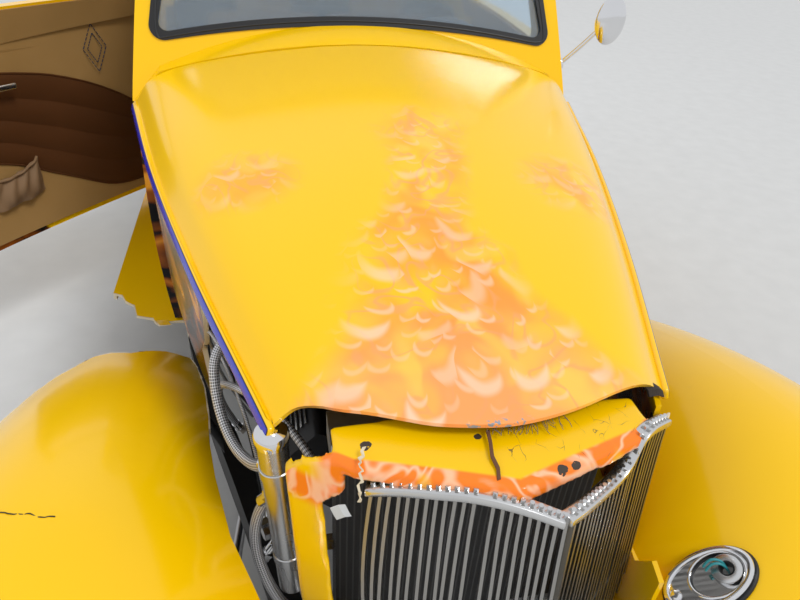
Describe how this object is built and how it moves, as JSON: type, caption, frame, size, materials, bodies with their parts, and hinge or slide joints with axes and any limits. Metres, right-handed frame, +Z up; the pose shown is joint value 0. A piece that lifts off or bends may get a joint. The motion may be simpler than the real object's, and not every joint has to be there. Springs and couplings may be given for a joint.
{
  "type": "hot rod coupe",
  "caption": "Chopped and lowered coupe street rod with flamed paint, rear-hinged doors, open wheels under full fenders and a crash-damaged nose.",
  "frame": {"origin": "on the floor, on the centre plane, below the front axle", "axes": "+X to the car's left, +Y to its rear (it faces -Y), +Z up"},
  "size_m": [2.1479, 4.0924, 1.5467],
  "materials": {
    "body_paint": "yellow gloss paint over fibreglass",
    "trim": "tan and brown trim panel",
    "dash_vinyl": "brown vinyl",
    "grey_rim": "grey rim",
    "upholstery": "tan upholstery",
    "glass": "clear glass",
    "gasket_rubber": "black rubber",
    "floor_sheet": "black painted sheet",
    "chassis_black": "black paint",
    "chrome": "bright plating",
    "steel": "bright steel",
    "engine_iron": "dark cast iron",
    "polished_aluminium": "polished",
    "exhaust_steel": "heat-stained steel",
    "radiator_metal": "dark core with bright tanks",
    "hose": "braided hose",
    "wheel_metal": "polished",
    "tyre": "black rubber",
    "lens_red": "red lens"
  },
  "bodies": {
    "car": {"body_shell": "body_paint", "cross_members": "chassis_black", "dashboard": "dash_vinyl", "engine": "engine_iron", "engine_covers": "polished_aluminium", "exhausts": "exhaust_steel", "floor_and_firewall": "floor_sheet", "frame_rails": "chassis_black", "front_axle": "chrome", "front_fender_left": "body_paint", "front_fender_right": "body_paint", "front_suspension": "steel", "fuel_tank": "chassis_black", "glazing": "glass", "grille_insert": "chrome", "grille_shell": "body_paint", "headlamp_bases": "chrome", "hood_sides": "body_paint", "hoses": "hose", "mirror": "chrome", "overflow_tank": "chrome", "radiator": "radiator_metal", "rear_axle": "chassis_black", "rear_fenders": "body_paint", "rear_suspension": "steel", "running_board_right": "body_paint", "seat": "upholstery", "tail_lamps": "lens_red", "windscreen_gasket": "gasket_rubber"},
    "hood": {"hood_top": "body_paint"},
    "deck_lid": {"deck_lid": "body_paint"},
    "door_left": {"door_left": "body_paint", "door_trim_left": "trim"},
    "door_right": {"door_right": "body_paint", "door_trim_right": "trim"},
    "steering_wheel": {"steering_wheel": "grey_rim"},
    "knuckle_left": {"knuckle_left": "steel"},
    "knuckle_right": {"knuckle_right": "steel"},
    "track_rod": {"track_rod": "chrome"},
    "wheel_front_left": {"wheel_front_left": "wheel_metal", "tyre_front_left": "tyre"},
    "wheel_front_right": {"wheel_front_right": "wheel_metal", "tyre_front_right": "tyre"},
    "wheel_rear_left": {"wheel_rear_left": "wheel_metal", "tyre_rear_left": "tyre"},
    "wheel_rear_right": {"wheel_rear_right": "wheel_metal", "tyre_rear_right": "tyre"}
  },
  "joints": [
    {"name": "steer_left", "type": "hinge", "parent": "car", "child": "knuckle_left", "pos_m": [0.596, 0, 0.31], "axis": [0, 0, 1], "range_deg": [-28, 28]},
    {"name": "steer_right", "type": "hinge", "parent": "car", "child": "knuckle_right", "pos_m": [-0.596, 0, 0.31], "axis": [0, 0, 1], "range_deg": [-28, 28]},
    {"name": "track_rod_pivot", "type": "hinge", "parent": "knuckle_left", "child": "track_rod", "pos_m": [0.574, 0.15, 0.3103], "axis": [0, 0, 1], "range_deg": [-28, 28]},
    {"name": "steering_wheel_turn", "type": "hinge", "parent": "car", "child": "steering_wheel", "pos_m": [0.3, 1.7, 0.985], "axis": [0, 0.891, 0.454], "range_deg": [-340, 340]},
    {"name": "hood_hinge", "type": "hinge", "parent": "car", "child": "hood", "pos_m": [0, 1.334, 1.124], "axis": [-1, 0, 0], "range_deg": [0, 42]},
    {"name": "deck_lid_hinge", "type": "hinge", "parent": "car", "child": "deck_lid", "pos_m": [0, 2.823, 1.064], "axis": [1, 0, 0], "range_deg": [0, 34]},
    {"name": "door_left_hinge", "type": "hinge", "parent": "car", "child": "door_left", "pos_m": [0.7, 2.34, 0.76], "axis": [0, 0, 1], "range_deg": [0, 70]},
    {"name": "door_right_hinge", "type": "hinge", "parent": "car", "child": "door_right", "pos_m": [-0.7, 2.34, 0.76], "axis": [0, 0, -1], "range_deg": [-43, 27]},
    {"name": "wheel_front_left_spin", "type": "hinge", "parent": "knuckle_left", "child": "wheel_front_left", "pos_m": [0.7, 0, 0.31], "axis": [1, 0, 0], "continuous": true},
    {"name": "wheel_front_right_spin", "type": "hinge", "parent": "knuckle_right", "child": "wheel_front_right", "pos_m": [-0.7, 0, 0.31], "axis": [1, 0, 0], "continuous": true},
    {"name": "wheel_rear_left_spin", "type": "hinge", "parent": "car", "child": "wheel_rear_left", "pos_m": [0.695, 2.845, 0.355], "axis": [1, 0, 0], "continuous": true},
    {"name": "wheel_rear_right_spin", "type": "hinge", "parent": "car", "child": "wheel_rear_right", "pos_m": [-0.695, 2.845, 0.355], "axis": [1, 0, 0], "continuous": true}
  ],
  "couplings": [
    {"joint": "steer_right", "follows": "steer_left", "ratio": 1},
    {"joint": "track_rod_pivot", "follows": "steer_left", "ratio": -1},
    {"joint": "steering_wheel_turn", "follows": "steer_left", "ratio": 12}
  ]
}
